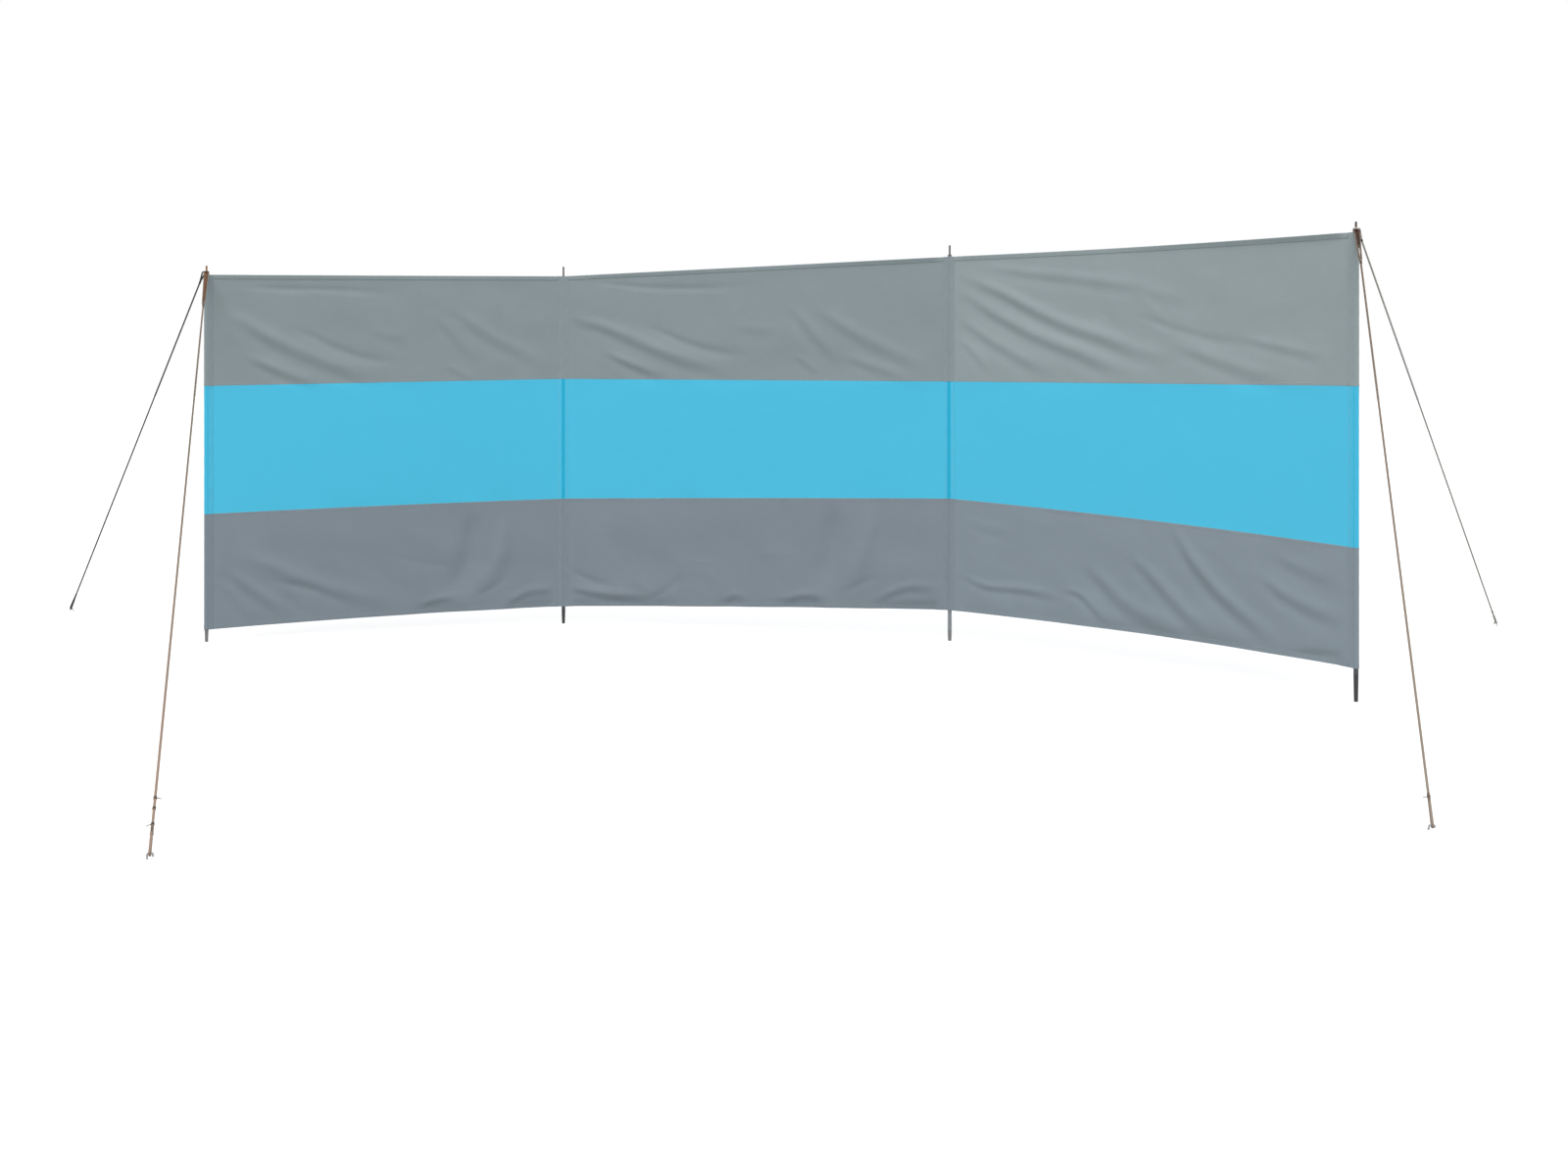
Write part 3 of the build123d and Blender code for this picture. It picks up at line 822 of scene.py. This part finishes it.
def makeSleeve(pole, number):
    outline, normal, girth = pocketOutline(pole)
    low, high = clothLines[pole][number], clothLines[pole][number + 1]
    rows = max(int((high - low) / sleeve["row"]), 4)
    z = np.linspace(low, high, rows)
    hem, fell = sleeve["hem"], sleeve["fell"]
    hems = {0: smooth(-z, -low - hem[0], -low - hem[1]), 2: smooth(z, high - hem[0], high - hem[1])}
    felled = {0: smooth(z, high - fell[0], high - fell[1]), 2: smooth(-z, -low - fell[0], -low - fell[1])}
    swell = sleeve["swell"] * (hems.get(number, 0) + felled.get(number, 0) + 0 * z)
    far = np.linalg.norm(outline, axis=1)
    onPole = smooth(-far, -sleeve["radius"] - sleeve["bandFade"], -sleeve["radius"])
    turn = np.arctan2(outline[:, 1], outline[:, 0])
    dice = np.random.default_rng(200 + 10 * pole + number)
    wrinkle = np.zeros((len(outline), rows))
    for _ in range(sleeve["wrinkles"]):
        wave = dice.uniform(0.02, 0.09)
        lean = dice.integers(-2, 3)
        phase = z[None] * 2 * math.pi / wave + turn[:, None] * lean + dice.uniform(0, 6)
        wrinkle += np.sin(phase) * wave / 0.06
    wrinkle = sleeve["wrinkleDepth"] * (wrinkle + 3) * (0.4 + 0.6 * (1 - onPole))[:, None]
    wrinkle *= smooth(-far, -far.max(), -far.max() + 5 * mm)[:, None]
    outside = outline[:, None] + normal[:, None] * (wrinkle + swell[None])[..., None]
    inside = outside - normal[:, None] * sleeve["wall"]
    both = np.concatenate([outside, inside[:, ::-1]], axis=1) + polePlaces[pole]
    upAndDown = np.concatenate([z, z[::-1]])
    heights = np.broadcast_to(upAndDown, both.shape[:2])
    rings = np.concatenate([both, heights[..., None]], axis=-1)
    run = np.linspace(0, girth, len(outline) + 1)
    uv = np.stack(np.broadcast_arrays(run[:, None], upAndDown[None]), axis=-1)
    strip = stripNames[number]
    name = poleNames[pole]
    piece = tidied(loft(f"sleeve_{strip}_{name}", rings, uv, joined=True), 60)
    # Painted shade: where the pole shows dark through the cloth, for the cloth's material to darken
    shade = piece.data.attributes.new("paintedPoleShade", "FLOAT", "POINT")
    weight = np.repeat(onPole * sleeve["poleShadeShare"][strip][pole], 2 * rows)
    shade.data.foreach_set("value", weight.astype(np.float32))
    dressed(piece, (paleCloth if pole == 3 else clothOf)[strip], slotOf[strip], f"{strip}_sleeve_{name}")


for pole in range(len(poleNames)):
    for number in range(3):
        makeSleeve(pole, number)
print("sleeves ready")


# Stitches: one short thread for each, laid along its row on both faces of the cloth

stitch = {
    "pitch": 6 * mm,  # real ones are 3 mm apart, drawn coarser to show
    "length": 4.2 * mm,
    "thick": 0.9 * mm,
    "hemRow": 14.5 * mm,
    "seamRow": 0.3,  # share of the seam's width, to either side of its middle
    "proud": 0.1 * mm,
    "clear": 3 * mm,  # left free at each end of a pole's rows
    "spots": 60,
}


def stitchTree():
    # Short threads, one after the other along a row
    tree, start = newTree("stitchRows", "Pitch", "Length", "Thickness")
    half = maths(tree, "MULTIPLY", start["Thickness"], 0.5)
    size = {"Vertices": 5, "Side Segments": 1, "Radius": half, "Depth": start["Length"]}
    one = made(tree, "GeometryNodeMeshCylinder", size)
    return endTree(tree, start, laidAlong(tree, curveOf(tree, start, start["Pitch"]), one))


stitchRows = stitchTree()


def rowAlong(bay, line, offset, lift):
    s = np.arange(*seamEnds(bay), band["step"])
    return clothPoint(bay, s, lineHeight(bay, line, s) + offset, lift)


def stitchesOfBay(bay):
    hem, seam = band["hemHalf"] + stitch["proud"], band["seamHalf"]
    middle, gap = band["seamWidth"] / 2, band["seamWidth"] * stitch["seamRow"]
    lines = []
    for face in (1, -1):
        lines.append(rowAlong(bay, 0, stitch["hemRow"], face * hem))
        lines.append(rowAlong(bay, 3, -stitch["hemRow"], face * hem))
        rows = (-gap, gap) if face == 1 else (0.0,)
        for line, towards in ((1, -1), (2, 1)):
            lines += [rowAlong(bay, line, towards * (middle + row), face * seam) for row in rows]
    return lines


def stitchesOfPole(pole):
    reach = cloth["seamReach"][pole]
    apart = reach - sleeve["tip"]
    lean = math.asin((sleeve["radius"] - sleeve["tip"]) / apart)
    along = reach - sleeve["stitchInset"]
    proud = (sleeve["radius"] - along * math.sin(lean)) / math.cos(lean) + stitch["proud"]
    low, high = clothLines[pole][0] + stitch["clear"], clothLines[pole][3] - stitch["clear"]
    z = np.linspace(low, high, stitch["spots"])
    lines = []
    for out in waysOut(pole):
        side = np.array((-out[1], out[0]))
        for face in (1, -1):
            spot = polePlaces[pole] + out * along + side * face * proud
            lines.append(np.stack(np.broadcast_arrays(*spot, z), axis=-1))
    return lines


def makeStitches(name, lines):
    values = {"Pitch": stitch["pitch"], "Length": stitch["length"], "Thickness": stitch["thick"]}
    piece = grown(name, lines, stitchRows, Material=thread, **values)
    dressed(piece, thread, "grey_cloth")


for bay, name in enumerate(bayNames):
    makeStitches("stitches_" + name, stitchesOfBay(bay))
for pole, name in enumerate(poleNames):
    makeStitches("stitches_" + name, stitchesOfPole(pole))
print("stitches ready")


# Guys: rope turned round the pin and round the peg, spliced back into itself, with a whipping on each
# splice. The long front eyes are served with marline

rope = {
    "radius": 3.0 * mm,
    "clearance": 0.3 * mm,
    "pinRadius": 3.5 * mm,
    "strandGap": 0.05 * mm,
    "sides": 14,
    "ring": 1.75 * mm,
    "lump": 0.16 * mm,
    "splice": 26 * mm,
    "swell": 0.35 * mm,  # how far a splice stands out past the rope
    "bendRadius": 20 * mm,
    "pegEye": 56 * mm,  # from the peg to the foot splice
    "pegRadius": 2.0 * mm,
    "crook": 16 * mm,  # the height at which the peg holds the rope
}
# Seizings are further whippings, in millimetres down from the pin or up from the peg, and tails are the
# ends of twine left on some, with the side that they point to
guys = {
    "front_left": {
        "pole": "left_end",
        "reach": 2.895,
        "bearing": -56.45,
        "eye": 290 * mm,
        "cord": leftCord,
        "served": 278 * mm,
        "marline": marline,
        "fromPeg": (58, 88, 139, 173),
        "tails": ((88, -1), (173, 1)),
    },
    "back_left": {"pole": "left_end", "reach": 1.195, "bearing": 154.1, "eye": 26 * mm, "cord": darkCord},
    "front_right": {
        "pole": "right_end",
        "reach": 1.460,
        "bearing": -89.0,
        "eye": 130 * mm,
        "cord": rightCord,
        "served": 74 * mm,
        "marline": darkMarline,
        "fromPin": (79,),
        "fromPeg": (71,),
        "tails": ((71, -1),),
    },
    "back_right": {"pole": "right_end", "reach": 1.907, "bearing": 67.8, "eye": 26 * mm, "cord": paleCord},
}
snug = 0.55  # half a turn's thickness to its pitch, so that neighbours touch
whipping = {
    "length": 9 * mm,
    "seizing": 6 * mm,
    "twine": 0.8 * mm,
    "tail": 13 * mm,
    "tailTwine": 1.8 * mm,
    "tailDroop": 3 * mm,
}
serving = {"start": 12 * mm, "pitch": 1.5 * mm, "thickness": 0.9 * mm}


def ropeTree():
    # A round cord whose surface rises and falls with its braid
    tree, start = newTree("braidedCord", "Radius", "Ring", "Carriers", "Cell", "Lump", Sides="Int")
    travelled = addNode(tree, "GeometryNodeSplineParameter").outputs["Length"]
    rings = stored(tree, curveOf(tree, start, start["Ring"]), "travelled", travelled)
    share = addNode(tree, "GeometryNodeSplineParameter").outputs["Factor"]
    angle = maths(tree, "MULTIPLY", share, 2 * math.pi)
    section = stored(tree, circleOf(tree, start["Sides"], start["Radius"]), "turned", angle)
    tube = tubeOf(tree, rings, section, True)
    around, ahead = recalled(tree, "turned"), recalled(tree, "travelled")
    columns = maths(tree, "COSINE", maths(tree, "MULTIPLY", around, start["Carriers"]))
    turns = maths(tree, "DIVIDE", maths(tree, "MULTIPLY", ahead, 2 * math.pi), start["Cell"])
    lumps = maths(tree, "MULTIPLY", columns, maths(tree, "COSINE", turns))
    height = maths(tree, "MULTIPLY", lumps, start["Lump"])
    lumpy = moved(tree, tube, made(tree, "GeometryNodeInputNormal"), height)
    parts = {0: maths(tree, "COSINE", around), 1: maths(tree, "SINE", around), 2: ahead}
    marks = made(tree, "ShaderNodeCombineXYZ", parts)
    marked = stored(tree, lumpy, "braid", marks, "FLOAT_VECTOR")
    return endTree(tree, start, shadedSmooth(tree, marked))


def whippingTree():
    # Turns of twine side by side, each a ring on the rope's axis
    tree, start = newTree("whippingTurns", "Twine", "Radius")
    section = circleOf(tree, 6, maths(tree, "MULTIPLY", start["Twine"], snug))
    ring = tubeOf(tree, circleOf(tree, 20, start["Radius"]), section)
    turns = laidAlong(tree, curveOf(tree, start, start["Twine"]), ring)
    return endTree(tree, start, shadedSmooth(tree, turns))


def servingTree():
    # Turns of marline round two strands that draw together: each ring is pulled apart to their width
    tree, start = newTree("servingTurns", "Pitch", "Radius", "Start", "End", Side="Vector")
    share = addNode(tree, "GeometryNodeSplineParameter").outputs["Factor"]
    apart = made(tree, "ShaderNodeMix", {0: share, 2: start["Start"], 3: start["End"]})
    line = stored(tree, curveOf(tree, start, start["Pitch"]), "apart", apart)
    section = circleOf(tree, 5, maths(tree, "MULTIPLY", start["Pitch"], snug))
    ring = tubeOf(tree, circleOf(tree, 16, start["Radius"]), section)
    across = made(tree, "ShaderNodeSeparateXYZ", {0: made(tree, "GeometryNodeInputPosition")})
    hand = maths(tree, "SIGN", maths(tree, "ADD", across, 0.00001))
    turns = laidAlong(tree, line, stored(tree, ring, "hand", hand))
    real = made(tree, "GeometryNodeRealizeInstances", {"Geometry": turns})
    reach = maths(tree, "MULTIPLY", recalled(tree, "hand"), recalled(tree, "apart"))
    return endTree(tree, start, shadedSmooth(tree, moved(tree, real, start["Side"], reach)))


def tailTree():
    # A short end of twine
    tree, start = newTree("twineTails", "Twine")
    section = circleOf(tree, 8, maths(tree, "MULTIPLY", start["Twine"], 0.5))
    return endTree(tree, start, tubeOf(tree, curveOf(tree, start), section, True))


braidedCord = ropeTree()
whippingTurns = whippingTree()
servingTurns = servingTree()
twineTails = tailTree()


def arcPoints(centre, first, second, radius, start, end, count=14):
    angles = np.linspace(start, end, count)
    return [centre + radius * (math.cos(a) * first + math.sin(a) * second) for a in angles]


def roundedCorner(before, corner, after, radius, count=6):
    back, ahead = (before - corner), (after - corner)
    back, ahead = back / np.linalg.norm(back), ahead / np.linalg.norm(ahead)
    turn = math.pi - math.acos(np.clip(back @ ahead, -1, 1))
    reach = radius * math.tan(turn / 2)
    ends = corner + back * reach, corner + ahead * reach
    shares = np.linspace(0, 1, count)
    return [ends[0] * (1 - t) ** 2 + corner * 2 * t * (1 - t) + ends[1] * t**2 for t in shares]


def guyFrame(guy):
    # The pin's axis at the eye's level, and how the rope slopes from there to its peg; down runs along the
    # rope, side and lean across it
    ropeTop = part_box(guy["node"])[1].z
    pin = np.array((*middleOf("pole_pin_" + guy["pole"])[:2], ropeTop - rope["radius"]))
    bearing = math.radians(guy["bearing"])
    heading = np.array((math.cos(bearing), math.sin(bearing), 0.0))
    eye = rope["pinRadius"] + rope["radius"] + rope["clearance"]
    drop = pin[2] - rope["crook"]
    bend, slope = 0.0, 0.0
    for _ in range(4):  # the bend and the slope settle together
        slope = math.atan2(drop, guy["reach"] - bend)
        bend = eye + rope["radius"] + rope["clearance"] + rope["bendRadius"] * math.tan(slope / 2)
    down = heading * math.cos(slope) - up * math.sin(slope)
    lean = heading * math.sin(slope) + up * math.cos(slope)
    side = np.cross(up, heading)
    toPeg = math.hypot(drop, guy["reach"] - bend)
    return SimpleNamespace(pin=pin, heading=heading, side=side, down=down, lean=lean, eye=eye,
                           corner=pin + heading * bend, toPeg=toPeg)


def eyeTurn(guy):
    # Round the pin, from one strand of the eye to the other
    at = guyFrame(guy)
    apart = rope["radius"] + rope["strandGap"]
    throat = [at.corner + at.down * guy["eye"] + at.side * apart * hand for hand in (-1, 1)]
    bends = [at.corner + at.side * at.eye * hand for hand in (-1, 1)]
    turn = roundedCorner(throat[0], bends[0], at.pin - at.side * at.eye, rope["bendRadius"])
    turn += arcPoints(at.pin, -at.side, -at.heading, at.eye, 0, math.pi)
    turn += roundedCorner(at.pin + at.side * at.eye, bends[1], throat[1], rope["bendRadius"])
    return throat, turn


def ropeRoute(guy):
    at = guyFrame(guy)
    apart = rope["radius"] + rope["strandGap"]
    splice = rope["splice"]
    tucked, closed = splice * 0.8, splice * 0.9  # where the strand's end lies, and where the two are one
    throat, turn = eyeTurn(guy)
    # From the end inside the top splice, round the pin, down to the peg, and back inside the foot splice
    route = [at.corner + at.down * (guy["eye"] + tucked) - at.side * apart * 0.2]
    route += [throat[0], *turn, throat[1]]
    route.append(at.corner + at.down * (guy["eye"] + closed))
    crook = at.corner + at.down * at.toPeg
    pegEye = rope["pegRadius"] + rope["radius"] + rope["clearance"]
    straight = at.toPeg - rope["pegEye"] - closed
    route += [at.corner + at.down * d for d in np.linspace(guy["eye"] + splice, straight, 12)]
    mouth = rope["pegEye"] + splice / 4
    touch = math.atan2(apart, mouth) + math.acos(pegEye / math.hypot(mouth, apart))
    route.append(crook - at.down * rope["pegEye"] + at.lean * apart)
    route += arcPoints(crook, -at.down, at.lean, pegEye, touch, 2 * math.pi - touch, 18)
    route.append(crook - at.down * rope["pegEye"] - at.lean * apart)
    route.append(crook - at.down * (rope["pegEye"] + tucked) - at.lean * apart * 0.2)
    return route


def makeSplice(name, start, along, side, other):
    # From two strands side by side down to one, with the braid running on
    length, count, sides = rope["splice"], 26, 24
    wide = rope["radius"] + rope["swell"]
    rings, marks = [], []
    for share in np.linspace(0, 1, count):
        near = min(share, 1 - share) * 14  # each end closes round over a fourteenth of the length
        nip = math.sqrt(1 - (1 - near) ** 2) if near < 1 else 1
        across = wide + rope["radius"] * (1 - smooth(np.array(share), 0, 1)) * 0.95
        ring = []
        for angle in np.linspace(0, 2 * math.pi, sides, endpoint=False):
            travelled = share * length
            lump = rope["lump"] * math.cos(6 * angle) * math.cos(2 * math.pi * travelled / braid["cell"])
            out = side * math.cos(angle) * (across * nip + lump)
            out = out + other * math.sin(angle) * (wide * nip + lump)
            ring.append(start + along * travelled + out)
            marks.append((math.cos(angle), math.sin(angle), travelled))
        rings.append(ring)
    piece = tidied(loft(name, np.array(rings)), 80)
    attribute = piece.data.attributes.new("braid", "FLOAT_VECTOR", "POINT")
    attribute.data.foreach_set("vector", np.array(marks, np.float32).ravel())
    return piece


def makeGuy(name, guy):
    at = guyFrame(guy)
    crook = at.corner + at.down * at.toPeg
    values = {label: rope[label.lower()] for label in ("Radius", "Ring", "Sides", "Lump")}
    values |= {"Carriers": float(braid["carriers"]), "Cell": braid["cell"], "Material": guy["cord"]}
    line = grown("rope_" + name, [ropeRoute(guy)], braidedCord, **values)
    top = makeSplice("topSplice", at.corner + at.down * guy["eye"], at.down, at.side, at.lean)
    foot = makeSplice("footSplice", crook - at.down * rope["pegEye"], -at.down, at.lean, at.side)
    joined = joinedPieces("rope_" + name, [line, top, foot])
    dressed(joined, guy["cord"], "guy_rope", "guy_" + name)

    # Whippings and seizings, with the ends of twine left on some
    fromPin = [guy["eye"] + rope["splice"], *(d * mm for d in guy.get("fromPin", ()))]
    fromPeg = [d * mm for d in guy.get("fromPeg", ())] or [rope["pegEye"] + rope["splice"]]
    middles = [at.corner + at.down * d for d in fromPin] + [crook - at.down * d for d in fromPeg]
    halves = [at.down * whipping["length" if d == fromPin[0] else "seizing"] / 2 for d in fromPin + fromPeg]
    lines = [[middle - half, middle + half] for middle, half in zip(middles, halves)]
    wound = rope["radius"] + rope["swell"] + whipping["twine"] * 0.3
    turns = {"Twine": whipping["twine"], "Radius": wound, "Material": twine}
    bound = [grown("turns", lines, whippingTurns, **turns)]
    for distance, hand in guy.get("tails", ()):
        root = crook - at.down * distance * mm
        out, droop = at.side * hand * whipping["tail"], up * whipping["tailDroop"]
        line = [root + out * share - droop * share**2 for share in (0, 0.3, 0.7, 1)]
        bound.append(grown("tail", [line], twineTails, Twine=whipping["tailTwine"], Material=twine))
    dressed(joinedPieces("whipping_" + name, bound), twine, "guy_rope")
    if "served" not in guy:
        return

    # The serving: round both strands down to where it ends, and round the one strand that crowns the pin
    apart = rope["radius"] + rope["strandGap"]
    ends = (serving["start"], guy["served"])
    full = guy["eye"] + rope["splice"] / 4
    first, last = (at.eye + (apart - at.eye) * d / full for d in ends)
    strands = [at.corner + at.down * ends[0] + at.side * first * hand for hand in (-1, 1)]
    wound = rope["radius"] + serving["thickness"] - serving["pitch"] * snug
    turns = {"Pitch": serving["pitch"], "Radius": wound, "Side": at.side.tolist()}
    turns["Material"] = guy["marline"]
    line = [at.corner + at.down * d for d in ends]
    both = grown("both", [line], servingTurns, Start=first, End=last, **turns)
    loop = [strands[0], *eyeTurn(guy)[1], strands[1]]
    crown = grown("crown", [loop], servingTurns, Start=0.0, End=0.0, **turns)
    dressed(joinedPieces("serving_" + name, [both, crown]), guy["marline"], "guy_rope")


for name, guy in guys.items():
    guy["node"] = "guy_" + name
    makeGuy(name, guy)
print("guys ready")


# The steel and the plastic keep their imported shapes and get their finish

finishes = {
    "left_end": (paleTube, rustPin, greySpike),
    "left_inner": (darkTube, darkPin, blackSpike),
    "right_inner": (paleTube, darkPin, greySpike),
    "right_end": (darkTube, brownPin, blackSpike),
}
painted = {"peg_" + guy: pegZinc for guy in guys}
for pole, finish in finishes.items():
    painted |= dict(zip((f"pole_tube_{pole}", f"pole_pin_{pole}", f"pole_spike_{pole}"), finish))
for name, material in painted.items():
    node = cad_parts[name]
    node.data.materials.clear()
    node.data.materials.append(material)
print("poles and pegs ready")
